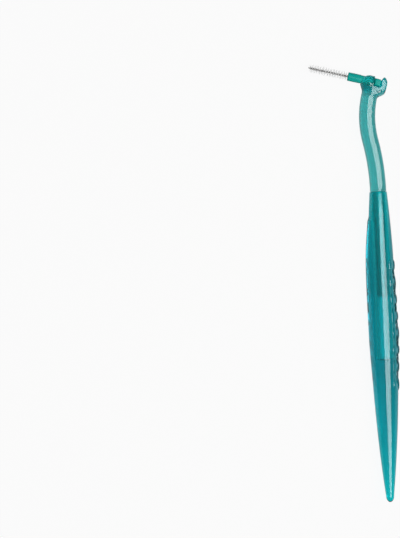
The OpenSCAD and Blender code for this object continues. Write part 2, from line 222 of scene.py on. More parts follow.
def greater(a, b, k):
    """Greater of two fields, rounded off in the same way."""
    return -lesser(-a, -b, k)


def surface_net(field, axes):
    """Closed surface on which a field is zero, as (places, four-sided faces).

    The field is sampled on the grid of three axes. A cell that the surface crosses gets one vertex, the
    mean of the crossings on its edges; a grid line that crosses it gets one face, from the four cells
    round it. Then each vertex slides down the field's own slope until it lies on the surface.
    """
    values = field(*np.meshgrid(*axes, indexing="ij"))
    cells = np.array(values.shape) - 1
    total, count = np.zeros((*cells, 3)), np.zeros(cells)
    crossings = []
    for d in range(3):
        low = values[tuple(slice(0, -1) if a == d else slice(None) for a in range(3))]
        high = values[tuple(slice(1, None) if a == d else slice(None) for a in range(3))]
        crossed = (low < 0) != (high < 0)
        share = np.where(crossed, low / np.where(crossed, low - high, 1), 0)
        crossings.append((crossed, low < 0))
        e, f = (d + 1) % 3, (d + 2) % 3
        for i in (0, 1):
            for j in (0, 1):
                part = [slice(None)] * 3
                part[e], part[f] = slice(i, i + cells[e]), slice(j, j + cells[f])
                hit = crossed[tuple(part)]
                count += hit
                total[..., d] += share[tuple(part)]
                total[..., e] += hit * i
                total[..., f] += hit * j
    used = count > 0
    vertex = np.full(cells, -1)
    vertex[used] = np.arange(used.sum())
    spots = np.argwhere(used) + total[used] / count[used][:, None]
    places = np.stack([np.interp(spots[:, a], np.arange(len(axes[a])), axes[a]) for a in range(3)], 1)
    faces = []
    for d, (crossed, rising) in enumerate(crossings):
        e, f = (d + 1) % 3, (d + 2) % 3
        at = np.argwhere(crossed)
        around = []
        for i, j in ((1, 1), (0, 1), (0, 0), (1, 0)):
            cell = at.copy()
            cell[:, e] -= i
            cell[:, f] -= j
            around.append(vertex[tuple(cell.T)])
        quads = np.stack(around, 1)
        turned = ~rising[crossed]
        quads[turned] = quads[turned][:, ::-1]
        faces.append(quads)
    step, longest, least_slope, tiny, slides = 1e-7, 4e-5, 0.05, 1e-12, 4
    for _ in range(slides):
        ahead = [field(*(places + step * way).T) for way in np.eye(3)]
        behind = [field(*(places - step * way).T) for way in np.eye(3)]
        slope = (np.stack(ahead, 1) - np.stack(behind, 1)) / (2 * step)
        move = (field(*places.T) / np.maximum((slope**2).sum(1), least_slope))[:, None] * slope
        travel = np.maximum(np.linalg.norm(move, axis=1), tiny)
        places -= move * np.minimum(1, longest / travel)[:, None]
    return places, np.concatenate(faces).tolist()


def skin(rings, ends=(None, None)):
    """Faces over rings of points, joined round each ring and from each to the next, as (places, faces).

    rings is an array of ring, side and coordinate. Each end is a point that closes it by a fan, or None.
    """
    count, sides = rings.shape[:2]
    i, j = np.meshgrid(np.arange(count - 1), np.arange(sides), indexing="ij")
    a, b = i * sides + j, i * sides + (j + 1) % sides
    quads = np.stack([a, b, b + sides, a + sides], -1).reshape(-1, 4)
    places, faces = rings.reshape(-1, 3), quads.tolist()
    j = np.arange(sides)
    for end, base, flip in ((ends[0], 0, True), (ends[1], (count - 1) * sides, False)):
        if end is not None:
            tip = np.full(sides, len(places))
            fan = np.stack([base + j, base + (j + 1) % sides, tip], 1)
            faces += (fan[:, ::-1] if flip else fan).tolist()
            places = np.concatenate([places, [end]])
    return places, faces


def piece(name, places, faces, material, body, node, slot):
    """Makes a smooth mesh of the faces, gives it its material and lets it ride and stand for its node."""
    mesh = bpy.data.meshes.new(name)
    mesh.from_pydata(np.asarray(places).tolist(), [], faces)
    mesh.validate()
    mesh.shade_smooth()
    mesh.materials.append(material)
    made = bpy.data.objects.new(name, mesh)
    bpy.context.scene.collection.objects.link(made)
    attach(made, body)
    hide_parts(node)


# Spindle between tip (-1), belly (0) and mouth (1): place, and share of the radius. Below the belly it is a
# share of the grip's radius, above it the share of the way from the mouth's radius to the grip's.
SPINDLE = (
    (-0.82, 0.447), (-0.63, 0.634), (-0.44, 0.775), (-0.25, 0.885), (-0.12, 0.962), (0.0, 1.0),
    (0.2, 0.91), (0.45, 0.723), (0.67, 0.52), (0.84, 0.285), (1.0, 0.0),
)  # fmt: skip


def spindle_radius(s, y):
    """Radius of the plain spindle: a cubic curve through the table, and a half ellipse at the tip."""
    belly = s.length - s.mouth_y
    tip_y = s.tip_len - belly
    table = np.array(((tip_y / belly, s.tip_d / s.grip_d), *SPINDLE))
    place, value = table.T
    slopes = np.empty(len(table))
    slopes[1:-1] = (value[2:] - value[:-2]) / (place[2:] - place[:-2])
    slopes[0] = (value[1] - value[0]) / (place[1] - place[0])
    slopes[-1] = (value[-1] - value[-2]) / (place[-1] - place[-2])
    x = np.where(y > 0, y / s.mouth_y, np.maximum(y, tip_y) / belly)
    i = np.clip(np.searchsorted(place, x, side="right") - 1, 0, len(place) - 2)
    h = place[i + 1] - place[i]
    u = (x - place[i]) / h
    share = (
        value[i] * (1 + 2 * u) * (1 - u) ** 2
        + value[i + 1] * u * u * (3 - 2 * u)
        + h * u * (1 - u) * (slopes[i] * (1 - u) - slopes[i + 1] * u)
    )
    above = s.mouth_d / 2 + (s.grip_d - s.mouth_d) / 2 * share
    end = s.tip_d / 2 * np.sqrt(np.clip(1 - ((tip_y - y) / s.tip_len) ** 2, 0, 1))
    return np.where(y > 0, above, np.where(y > tip_y, s.grip_d / 2 * share, end))


def pad_height(s, y, turn):
    """Thumb pad on the brush's side: a short step and a long rise at its top, a long fade below, and soft
    flanks. Each is the cubic between 0 and 1, and the height is their product."""
    step_share, fade_share = 0.45, 0.7
    flat, flank = math.radians(8), math.radians(78)
    down = s.mouth_y - s.pad_from_mouth - y
    rise = step_share * smooth(down / s.pad_step) + (1 - step_share) * smooth(down / s.pad_edge)
    along = rise * smooth((s.pad_len - down) / (fade_share * s.pad_len))
    return s.pad_rise * along * (1 - smooth((np.abs(turn - math.pi) - flat) / flank))


# Half length of each droplet down a column, as a share of half the pitch, its half width as a share of
# the turn between columns, the power of its dome, and what each column outwards loses of the height
DROP_LENGTH_SHARES = np.array((0.66, 0.96, 0.64, 0.58, 0.88, 0.58, 0.72, 0.78))
DROP_WIDTH_SHARE = 0.44
DROP_POWER = 0.6
DROP_LOSS_SHARE = 0.12
OUTER_COLUMN = 2

# Bed of the droplets: its start over the first one, how long its ends are, and where its flanks begin and
# how wide they are, as shares of the turn between columns
BED_LEAD = 0.001
BED_TOP_LEN = 0.005
BED_END_LEN = 0.004
BED_FLANK_SHARES = (2.05, 0.8)


def droplet_height(s, y, turn):
    """Droplets on the far side, in five columns of which every second lies half a pitch lower.

    Each is a steep-sided, flat-topped dome over an ellipse: 1 less the squares of the shares of its half
    length and half width, to a power. They stand in a shallow bed with soft edges.
    """
    turn = (turn + math.pi) % (2 * math.pi) - math.pi
    top = s.mouth_y - s.drops_from_mouth
    bottom = top - s.drop_count * s.drop_pitch
    height = np.zeros(np.broadcast(y, turn).shape)
    for column in range(-OUTER_COLUMN, OUTER_COLUMN + 1):
        odd = abs(column) % 2
        along = (top - y) / s.drop_pitch - odd / 2
        row = np.clip(np.floor(along), 0, s.drop_count - odd - 1).astype(int)
        half = DROP_LENGTH_SHARES[(row + 3 * column) % len(DROP_LENGTH_SHARES)]
        u = (2 * (along - row) - 1) / half
        w = (turn / s.drop_turn - column) / DROP_WIDTH_SHARE
        dome = np.clip(1 - u * u - w * w, 0, 1) ** DROP_POWER
        height = np.maximum(height, (1 - DROP_LOSS_SHARE * abs(column)) * dome)
    flank_at, flank = (share * s.drop_turn for share in BED_FLANK_SHARES)
    bed = smooth((top + BED_LEAD - y) / BED_TOP_LEN) * smooth((y - bottom) / BED_END_LEN)
    bed = bed * (1 - smooth((np.abs(turn) - flank_at) / flank))
    return s.drop_rise * height - s.drop_bed * bed


# Grid of the handle's skin: the droplets' half turn, their lowest and highest place, and the steps up the
# handle and round it, fine at the droplets and coarse elsewhere
DROP_SIDE_DEGREES = 57
DROPS_LOW_Y = -0.0155
DROPS_HIGH_FROM_MOUTH = 0.017
FINE_STEP = 0.00013
COARSE_STEP = 0.0007
FINE_DEGREES = 1.0
COARSE_DEGREES = 3.0
TIP_DEGREES = 6.0


def handle_surface(s):
    """The handle's whole skin as rings from the tip's pole, up the spindle, over the mouth's rounded rim
    and down the blind bore to its end. A ring's radius is the spindle's plus the pad's and the droplets'."""
    belly, bore = s.length - s.mouth_y, s.bore_d / 2
    tip_y, end = s.tip_len - belly, s.mouth_y - s.bore_len
    edge, fillet, fillet_middle, rim_step = 0.00012, 0.0002, 0.00006, math.radians(18)
    mouth_rings, bore_rings = 50, 30
    fine = np.arange(-DROP_SIDE_DEGREES, DROP_SIDE_DEGREES, FINE_DEGREES)
    coarse = np.arange(DROP_SIDE_DEGREES, 360 - DROP_SIDE_DEGREES, COARSE_DEGREES)
    turns = np.radians(np.concatenate([fine, coarse]))
    a = np.radians(np.arange(TIP_DEGREES, 90, TIP_DEGREES))
    high = s.mouth_y - DROPS_HIGH_FROM_MOUTH
    ys = np.concatenate([
        tip_y - s.tip_len * np.cos(a),
        np.arange(tip_y, DROPS_LOW_Y, COARSE_STEP),
        np.arange(DROPS_LOW_Y, high, FINE_STEP),
        np.linspace(high, s.mouth_y - edge, mouth_rings),
    ])  # fmt: skip
    y, turn = ys[:, None], turns[None, :]
    radius = spindle_radius(s, y) + pad_height(s, y, turn) + droplet_height(s, y, turn)
    rim = rim_step * np.arange(1, 6)
    in_y = np.concatenate([
        s.mouth_y - edge + edge * np.sin(rim),
        s.mouth_y - edge + edge * np.cos(rim - rim_step),
        np.linspace(s.mouth_y - 2 * edge, end + fillet, bore_rings),
        [end + fillet_middle, end],
    ])  # fmt: skip
    in_r = np.concatenate([
        radius[-1].mean() - edge + edge * np.cos(rim),
        bore + edge - edge * np.sin(rim - rim_step),
        np.full(bore_rings, bore),
        [bore - fillet_middle, bore - fillet],
    ])  # fmt: skip
    radius = np.concatenate([radius, np.repeat(in_r[:, None], len(turns), 1)])
    y = np.concatenate([ys, in_y])[:, None]
    rings = np.stack([radius * np.cos(turn), y + 0 * turn, radius * np.sin(turn)], -1)
    return skin(rings[:, ::-1], ((0, -belly, 0), (0, end, 0)))


def centre_line(s, mouth_y, along):
    """Place and direction of the rod's centre line, at a distance along it from the handle's mouth.

    Straight inside the handle, then an arc towards the brush, a tighter arc back, and straight again.
    """
    first, second = s.lower_r * s.lower_turn, s.upper_r * s.upper_turn
    a = np.clip(along / s.lower_r, 0, s.lower_turn)
    b = np.clip((along - first) / s.upper_r, 0, s.upper_turn)
    turn = a - b
    x = s.lower_r * (np.cos(a) - 1) + s.upper_r * (math.cos(s.lower_turn) - np.cos(s.lower_turn - b))
    y = mouth_y + s.lower_r * np.sin(a) + s.upper_r * (math.sin(s.lower_turn) - np.sin(s.lower_turn - b))
    rest = np.minimum(along, 0) + np.maximum(along - first - second, 0)
    return x - rest * np.sin(turn), y + rest * np.cos(turn), turn


def head_place(s, mouth_y):
    """The head's middle, on the brush's axis, which the head and the brush are drawn about."""
    x, y, _ = centre_line(s, mouth_y, s.lower_r * s.lower_turn + s.upper_r * s.upper_turn)
    c, r = math.cos(s.brush_rise), math.sin(s.brush_rise)
    return x + s.neck_ahead * c + s.neck_drop * r, y + s.neck_drop * c - s.neck_ahead * r


def from_head(s, mouth_y, places):
    """Turns places about the head's middle, x to the rear and y up, into places in the shared frame."""
    x0, y0 = head_place(s, mouth_y)
    c, r = math.cos(s.brush_rise), math.sin(s.brush_rise)
    x, y, z = np.moveaxis(np.asarray(places), -1, 0)
    return np.stack([x0 + x * c + y * r, y0 - x * r + y * c, z], -1)


# Fillets and eased edges of the neck moulding
BALL_FILLET = 0.0010
HEEL_FILLET = 0.0007
TANG_FILLET = 0.0001
HEEL_EDGE = 0.0004
SADDLE_EDGE = 0.0003
SHOULDER_EDGE = 0.00025
TANG_EDGE = 0.0009
CHANNEL_EDGE = 0.00015
NOTCH_EDGE = 0.0003
NOTCH_FRONT_EDGE = 0.0002
NOTCH_FLOOR_EDGE = 0.0004
SLOT_EDGE = 0.0002


def neck_surface(s, mouth_y):
    """The neck as the zero level of one field, on a grid that bends with the rod's centre line.

    Rod, ball and heel are joined with fillets; the rod's front half is round and its rear half squarer,
    with |across|^p + |z|^p the same all round. The tang is a thinner rod below the shoulder. The seat of
    the shaft, the notch of the crossbar and the heel's relief slot are taken away with rounded edges.
    """
    first, second = s.lower_r * s.lower_turn, s.upper_r * s.upper_turn
    rod_end, shoulder, overlap, square_from = first + second, 0.00002, 0.001, 0.002
    heel_start, saddle, saddle_slope, face_lean, face_slope = 0.0011, 0.00115, 0.5, 0.55, 0.85
    x0, y0 = head_place(s, mouth_y)
    c, r = math.cos(s.brush_rise), math.sin(s.brush_rise)

    def place(across, along):
        x, y, turn = centre_line(s, mouth_y, along)
        return x + across * np.cos(turn), y + across * np.sin(turn)

    def field(across, along, z):
        px, py = place(across, along)
        hx, hy = (px - x0) * c - (py - y0) * r, (px - x0) * r + (py - y0) * c
        off = np.hypot(across, z)
        power = np.where(across > 0, 2 + (s.squareness - 2) * smooth(along / square_from), 2.0)
        rod = (np.abs(across) ** power + np.abs(z) ** power) ** (1 / power)
        rod = np.hypot(rod, np.maximum(along - rod_end, 0)) - s.neck_d / 2
        ball = np.sqrt((hx + s.ball_ahead) ** 2 + (hy + s.ball_drop) ** 2 + z**2) - s.ball_d / 2
        cx, cy = hx + s.heel_ahead, hy + s.heel_drop
        heel = np.sqrt(cx**2 + cy**2 + z**2) - s.heel_r
        top = np.hypot(np.maximum(hx - s.heel_face, 0), np.maximum(hy - s.heel_top + s.heel_top_r, 0))
        heel = greater(greater(heel, np.abs(z) - s.heel_w / 2, HEEL_EDGE), top - s.heel_top_r, HEEL_EDGE)
        heel = greater(heel, saddle_slope * (hy - saddle) - 2 * np.maximum(hx, 0), SADDLE_EDGE)
        heel = np.maximum(heel, -hx - heel_start)
        body = lesser(lesser(rod, ball, BALL_FILLET), heel, HEEL_FILLET)
        body = greater(body, shoulder - along, SHOULDER_EDGE)
        tang = greater(off - s.tang_d / 2, -along - s.tang_len, TANG_EDGE)
        tang = np.maximum(tang, along - overlap)
        body = lesser(body, tang, TANG_FILLET)
        channel = np.maximum(np.hypot(np.minimum(hy, 0), z) - s.channel_r, hx - s.heel_face)
        face = face_slope * (hx - s.heel_face - face_lean * np.maximum(hy - s.lead_in, 0))
        notch = greater(-s.notch_front - hx, face, NOTCH_FRONT_EDGE)
        notch = greater(notch, -s.floor_drop - hy, NOTCH_FLOOR_EDGE)
        near = np.clip(np.arctan2(-cy, cx), s.slot_start, s.slot_start + s.slot_turn)
        slot = np.hypot(cx - s.slot_r * np.cos(near), cy + s.slot_r * np.sin(near)) - s.slot_w / 2
        for cut, ease in ((channel, CHANNEL_EDGE), (notch, NOTCH_EDGE), (slot, SLOT_EDGE)):
            body = greater(body, -cut, ease)
        return body

    # The grid is fine at the tang's end, the shoulder and the head, and coarse between them
    cell, margin, end_cells, tang_rows, half_side = s.cell, 4, 14, 26, 31
    collar, coarse, head_from, head_to = 0.0005, 0.0004, rod_end - 0.0046, rod_end + 0.0036
    front, rear = -0.0041, 0.0050
    along = np.concatenate([
        -s.tang_len + np.arange(-margin, end_cells) * cell,
        np.linspace(-s.tang_len + end_cells * cell, -collar, tang_rows)[:-1],
        np.arange(-collar, collar, cell / 2),
        np.arange(collar, head_from, coarse),
        np.arange(head_from, head_to, cell),
    ])  # fmt: skip
    across = np.arange(front, rear, cell)
    side = np.arange(-half_side, half_side + 1) * cell
    places, faces = surface_net(field, (across, along, side))
    x, y = place(places[:, 0], places[:, 1])
    return np.stack([x, y, places[:, 2]], 1), faces


def shaft_surface(s, cell=0.00005):
    """The moulded shaft as the zero level of one field: a thicker nose, the seat and the crossbar, with
    rounded edges, and the hole for the wire. The crossbar's box is cut by a ball, which rounds its ends."""
    nose_edge, collar_edge, stub_edge, bar_edge, bar_end_edge = 0.0003, 0.0002, 0.0007, 0.0003, 0.0004
    collar_fillet, bar_fillet, hole_edge, wire_gap, overlap = 0.0001, 0.0003, 0.00008, 0.00002, 0.001
    wire_r = s.leg_r + s.wire_d / 2 + wire_gap
    round_r = s.bar_len / 2 + s.bar_w / 8

    def field(x, y, z):
        off = np.hypot(y, z)
        nose = greater(off - s.nose_d / 2, -s.reach - x, nose_edge)
        nose = greater(nose, x + s.reach - s.nose_len, collar_edge)
        seat = greater(off - s.shaft_d / 2, x - s.stub_end, stub_edge)
        seat = np.maximum(seat, -s.reach + overlap - x)
        bar = greater(np.abs(x + s.bar_ahead) - s.bar_w / 2, np.abs(y) - s.bar_h / 2, bar_edge)
        bar = greater(bar, np.abs(z) - s.bar_len / 2, bar_end_edge)
        bar = greater(bar, np.sqrt(x * x + y * y + z * z) - round_r, bar_edge)
        body = lesser(lesser(nose, seat, collar_fillet), bar, bar_fillet)
        hole = np.maximum(off - wire_r, x + s.reach - s.wire_grip - wire_gap)
        return greater(body, -hole, hole_edge)

    before, after, half_height, half_length = 3.5, 4, 24, 55
    axes = (
        np.arange(-s.reach - before * cell, s.stub_end + after * cell, cell),
        np.arange(-half_height, half_height + 1) * cell,
        np.arange(-half_length, half_length + 1) * cell,
    )
    return surface_net(field, axes)


def twist_at(s, x):
    """Angle of the first leg at x: it grows evenly towards the tip, a full turn in each pitch."""
    return (s.wire_grip - s.reach - x) / s.twist_pitch * 2 * math.pi


def across_at(turn):
    """Unit vector square to the wire at an angle round it."""
    return np.stack([np.zeros_like(turn), np.cos(turn), np.sin(turn)], -1)


def wire_surface(s, sides=14, a_turn=18, fold=12):
    """One round wire, folded at the tip: its path runs down one leg's helix, round a half circle and back
    up the other leg's, and the section is carried along it square to the path. The section has so many
    sides, a turn of the twist so many sections, and the fold so many steps."""
    wire_r = s.leg_r + s.wire_d / 2
    tip_x = -s.reach - s.wire_reach + wire_r
    start_x = s.wire_grip - s.reach
    steps = round((start_x - tip_x) / s.twist_pitch * a_turn)
    x = start_x + (tip_x - start_x) * np.arange(steps + 1) / steps
    ahead = np.array([-1.0, 0, 0])
    rise = 2 * math.pi * s.leg_r / s.twist_pitch
    paths, normals, travels = [], [], []
    for way in (1, -1):
        turn = twist_at(s, x) + (0 if way == 1 else math.pi)
        normal = across_at(turn)
        travel = way * (ahead + rise * across_at(turn + math.pi / 2))
        path = x[:, None] * -ahead + s.leg_r * normal
        if way == -1:
            path, normal, travel = path[::-1], normal[::-1], travel[::-1]
            a = (math.pi * np.arange(1, fold) / fold)[:, None]
            up = across_at(twist_at(s, np.array(tip_x)))
            bend = np.sin(a) * ahead + np.cos(a) * up
            paths.append(tip_x * -ahead + s.leg_r * bend)
            normals.append(bend)
            travels.append(np.cos(a) * ahead - np.sin(a) * up)
        paths.append(path)
        normals.append(normal)
        travels.append(travel)
    path, normal, travel = (np.concatenate(p) for p in (paths, normals, travels))
    travel /= np.linalg.norm(travel, axis=1, keepdims=True)
    side = np.cross(travel, normal)
    a = (2 * math.pi * np.arange(sides) / sides)[None, :, None]
    rings = path[:, None] + s.wire_d / 2 * (np.cos(a) * normal[:, None] + np.sin(a) * side[:, None])
    return skin(rings, (path[0], path[-1]))


def bristle_surface(s):
    """Loose filaments nipped between the legs of the wire, each giving a bristle on either side.

    A filament crosses the wire square to its legs at their twist there, give or take a few degrees. Its
    bristles lean a little along the wire, bow slightly and thin towards their ends; each is a slim tube
    of three sides on four stations, with both ends closed.
    """
    chance = np.random.default_rng(7)
    # Spread of the draws: place along the wire, turn, length and its least share, lean and bow
    shift, stray, shorter, shortest, lean_by, bow_by = 2e-5, 0.10, 0.035, 0.85, 1.1e-4, 6e-5
    root, thinning = -0.02, 0.35
    count, stations, sides = s.filaments, 4, 3
    first, last = -s.reach - s.bare_len, -s.reach - s.wire_reach + s.tip_bare
    x = first + (last - first) * (np.arange(count) + 0.5) / count
    x = np.repeat(x + chance.normal(0, shift, count), 2)
    way = np.tile([0.0, math.pi], count)
    turn = twist_at(s, x) + math.pi / 2 + way + np.repeat(chance.normal(0, stray, count), 2)
    reach = s.brush_d / 2 * (1 - np.abs(chance.normal(0, shorter, 2 * count))).clip(shortest, 1)
    lean = chance.normal(0, lean_by, 2 * count)
    bow = chance.normal(0, bow_by, 2 * count)
    t = np.linspace(root, 1, stations)
    out, side = across_at(turn), across_at(turn + math.pi / 2)
    along = np.array([1.0, 0, 0])
    path = (
        x[:, None, None] * along
        + (reach[:, None] * t)[..., None] * out[:, None]
        + (lean[:, None] * t**2)[..., None] * along
        + (bow[:, None] * np.sin(math.pi * t))[..., None] * side[:, None]
    )
    thick = s.bristle_d / 2 * (1 - thinning * t)
    a = 2 * math.pi * np.arange(sides) / sides
    section = np.cos(a)[:, None, None] * along + np.sin(a)[:, None, None] * side[None]
    rings = path[:, :, None] + thick[None, :, None, None] * np.moveaxis(section, 0, 1)[:, None]
    a_bristle = stations * sides
    i, j = np.meshgrid(np.arange(stations - 1), np.arange(sides), indexing="ij")
    p, q = i * sides + j, i * sides + (j + 1) % sides
    quads = np.stack([p, p + sides, q + sides, q], -1).reshape(1, -1, 4)
    ends = np.array([[[0, 1, 2], [a_bristle - 1, a_bristle - 2, a_bristle - 3]]])
    starts = (np.arange(2 * count) * a_bristle)[:, None, None]
    faces = (quads + starts).reshape(-1, 4).tolist() + (ends + starts).reshape(-1, 3).tolist()
    return rings.reshape(-1, 3), faces


# Materials


def tools(tree):
    """Short ways to add a node to a tree and to join two sockets."""

    def add(kind, **values):
        node = tree.nodes.new(kind)
        for key, value in values.items():
            setattr(node, key, value)
        return node

    def join(source, target):
        tree.links.new(source, target)

    return add, join


def finish(name):
    """A new material, its shader, and the short ways to add and join its nodes."""
    material = bpy.data.materials.new(name)
    material.use_nodes = True
    shader = next(n for n in material.node_tree.nodes if n.type == "BSDF_PRINCIPLED")
    return material, shader, *tools(material.node_tree)


def mottle(add, join, patches, pace=(1, 1, 1), turn=0.0):
    """Noise in object coordinates, with so many patches a metre times the pace along each axis, so that
    a slow pace draws it out. Gives its value output."""
    where = add("ShaderNodeTexCoord")
    mapping = add("ShaderNodeMapping")
    mapping.inputs["Scale"].default_value = pace
    mapping.inputs["Rotation"].default_value = (0, 0, turn)
    noise = add("ShaderNodeTexNoise")
    noise.inputs["Scale"].default_value = patches
    noise.inputs["Detail"].default_value = 3.0
    join(where.outputs["Object"], mapping.inputs["Vector"])
    join(mapping.outputs["Vector"], noise.inputs["Vector"])
    return noise.outputs["Fac"]


def between(add, join, value, low=0, high=1, start=0.3, end=0.7):
    """The value, brought from its range of start to end to the range of low to high and kept within it.
    Most of a noise lies between 0.3 and 0.7."""
    node = add("ShaderNodeMapRange")
    for socket, limit in (("From Min", start), ("From Max", end), ("To Min", low), ("To Max", high)):
        node.inputs[socket].default_value = limit
    join(value, node.inputs["Value"])
    return node.outputs["Result"]


def scaled(add, join, value, factor, plus=None):
    """The value times a factor, plus another value where one is given."""
    node = add("ShaderNodeMath", operation="MULTIPLY_ADD")
    node.inputs[1].default_value, node.inputs[2].default_value = factor, 0.0
    join(value, node.inputs[0])
    if plus is not None:
        join(plus, node.inputs[2])
    return node.outputs[0]


def two_tone(add, join, value, first, second):
    """Colour that runs from the first, a colour or a socket, to the second, a colour, with the value."""
    node = add("ShaderNodeMix", data_type="RGBA")
    a, b = (x for x in node.inputs if x.type == "RGBA")
    if isinstance(first, bpy.types.NodeSocket):
        join(first, a)
    else:
        a.default_value = (*first, 1)
    b.default_value = (*second, 1)
    join(value, node.inputs["Factor"])
    return next(x for x in node.outputs if x.type == "RGBA")


def relief(add, join, shader, height, strength, distance):
    """Fine relief of a height on the shader's surface."""
    bump = add("ShaderNodeBump")
    bump.inputs["Strength"].default_value = strength
    bump.inputs["Distance"].default_value = distance
    join(height, bump.inputs["Height"])
    join(bump.outputs["Normal"], shader.inputs["Normal"])


def cover(material, add, join, factor, first, second):
    """Shows the first shader's output where the factor is 0, and the second's where it is 1. Gives the
    material's own output node."""
    mix = add("ShaderNodeMixShader")
    out = next(n for n in material.node_tree.nodes if n.type == "OUTPUT_MATERIAL")
    for source, target in zip((factor, first, second), mix.inputs):
        join(source, target)
    join(mix.outputs["Shader"], out.inputs["Surface"])
    return out


def axis_height_mask(add, join, radius, start, full):
    """1 nearer than the radius to the handle's axis, risen from 0 at the height start to 1 at full."""
    soft_edge = 0.00002
    where, split, flat = add("ShaderNodeTexCoord"), add("ShaderNodeSeparateXYZ"), add("ShaderNodeMapping")
    off, both = add("ShaderNodeVectorMath", operation="LENGTH"), add("ShaderNodeMath", operation="MULTIPLY")
    flat.inputs["Scale"].default_value = (1, 0, 1)
    join(where.outputs["Object"], split.inputs["Vector"])
    join(where.outputs["Object"], flat.inputs["Vector"])
    join(flat.outputs["Vector"], off.inputs[0])
    risen = between(add, join, split.outputs["Y"], start=start, end=full)
    join(risen, both.inputs[0])
    inside = between(add, join, off.outputs["Value"], start=radius, end=radius - soft_edge)
    join(inside, both.inputs[1])
    return both.outputs[0]


# Clear plastic: its refractive index, the tint of its highlights, and the shares of the skin's tint that
# are left in the painted shade over the head
PLASTIC_IOR = 1.53
HIGHLIGHT_TINT = (0.9, 1.0, 1.0, 1)
HEAD_SHADE_SHARES = (0.03, 0.86, 0.92)

# Where the skins of the two mouldings meet, which is painted darker as shade: the radius, and the heights
# between which that begins in the bore and how far it takes to begin on the tang. Then the heights between
# which the painted shade over the head begins, and a radius that takes in the whole neck
JOINT_R = 0.00168
BORE_JOINT_Y = (-0.012, -0.010)
TANG_JOINT_LEN = 0.0004
HEAD_SHADE_Y = (0.0626, 0.0642)
WHOLE_R = 1.0


def clear_plastic(name, kept, deep, density, roughness, clarity, joint, joint_shade_kept, joint_matt, head_shade=None):
    """Injection-moulded clear plastic: tinted at its skin, with faint streaks along the flow, and tinted
    more by depth. The skin is polished, with slight smears and a ripple too fine to see as a shape. Where
    the two mouldings are joined the skin is matt and painted darker as shade; joint gives that place's
    radius and the heights between which it begins. Between the two heights given for the head, the tint
    deepens towards the head as painted shade.
    """
    material, shader, add, join = finish(name)
    paler, darker, glossiest, dullest = 1.06, 0.93, 0.7, 1.4
    streaks = between(add, join, mottle(add, join, patches=420.0, pace=(1, 0.12, 1)))
    pale, dark = tuple(min(1.0, c * paler) for c in kept), tuple(c * darker for c in kept)
    colour = two_tone(add, join, streaks, dark, pale)
    # Painted shade: where the mouldings are joined the skin keeps less of its tint; the same mask makes it
    # matt
    joined = axis_height_mask(add, join, *joint)
    colour = two_tone(add, join, joined, colour, tuple(c * joint_shade_kept for c in kept))
    if head_shade is not None:
        # Painted shade: the tint deepens over the head
        tinted = axis_height_mask(add, join, WHOLE_R, *head_shade)
        colour = two_tone(add, join, tinted, colour, tuple(c * f for c, f in zip(kept, HEAD_SHADE_SHARES)))
    join(colour, shader.inputs["Base Color"])
    smears = mottle(add, join, patches=900.0, pace=(1, 0.4, 1))
    smears = between(add, join, smears, low=roughness * glossiest, high=roughness * dullest)
    join(scaled(add, join, joined, joint_matt, smears), shader.inputs["Roughness"])
    ripple = mottle(add, join, patches=1500.0, pace=(1, 0.5, 1))
    relief(add, join, shader, ripple, strength=0.05, distance=0.00002)
    shader.inputs["Transmission Weight"].default_value = clarity
    shader.inputs["IOR"].default_value = PLASTIC_IOR
    shader.inputs["Specular Tint"].default_value = HIGHLIGHT_TINT
    rays, pane = add("ShaderNodeLightPath"), add("ShaderNodeBsdfTransparent")
    pane.inputs["Color"].default_value = (*kept, 1)
    shadow = rays.outputs["Is Shadow Ray"]
    out = cover(material, add, join, shadow, shader.outputs["BSDF"], pane.outputs["BSDF"])
    depth = add("ShaderNodeVolumeAbsorption")
    depth.inputs["Color"].default_value = (*deep, 1)
    depth.inputs["Density"].default_value = density
    join(depth.outputs["Volume"], out.inputs["Volume"])
    return material


def shaft_plastic(name, colour):
    """Opaque moulded plastic with a satin skin and a slight glow from inside."""
    material, shader, add, join = finish(name)
    paler, lift = 1.12, 0.01
    cloud = mottle(add, join, patches=700.0)
    pale = tuple(min(1.0, c * paler + lift) for c in colour)
    join(two_tone(add, join, between(add, join, cloud), colour, pale), shader.inputs["Base Color"])
    join(between(add, join, cloud, low=0.28, high=0.42), shader.inputs["Roughness"])
    relief(add, join, shader, mottle(add, join, patches=9000.0), strength=0.15, distance=0.00001)
    shader.inputs["Specular IOR Level"].default_value = 0.15
    shader.inputs["Subsurface Weight"].default_value = 0.25
    shader.inputs["Subsurface Radius"].default_value = (0.2, 1.0, 0.8)
    shader.inputs["Subsurface Scale"].default_value = 0.0006
    return material


def drawn_steel(name, turn):
    """Drawn stainless wire: grey metal with fine draw lines along the wire."""
    material, shader, add, join = finish(name)
    dark, pale = (0.50, 0.49, 0.48), (0.74, 0.73, 0.72)
    lines = mottle(add, join, patches=14000.0, pace=(0.05, 1, 1), turn=turn)
    join(two_tone(add, join, between(add, join, lines), dark, pale), shader.inputs["Base Color"])
    join(between(add, join, lines, low=0.38, high=0.58), shader.inputs["Roughness"])
    relief(add, join, shader, lines, strength=0.2, distance=0.000004)
    shader.inputs["Metallic"].default_value = 1.0
    return material


def nylon(name):
    """Milky nylon filament: pale, shading a little from one to the next."""
    material, shader, add, join = finish(name)
    dim, milky = (0.90,) * 3, (0.97,) * 3
    cloud = mottle(add, join, patches=2500.0)
    join(two_tone(add, join, between(add, join, cloud), dim, milky), shader.inputs["Base Color"])
    join(between(add, join, cloud, low=0.30, high=0.45), shader.inputs["Roughness"])
    shader.inputs["IOR"].default_value = PLASTIC_IOR
    return material


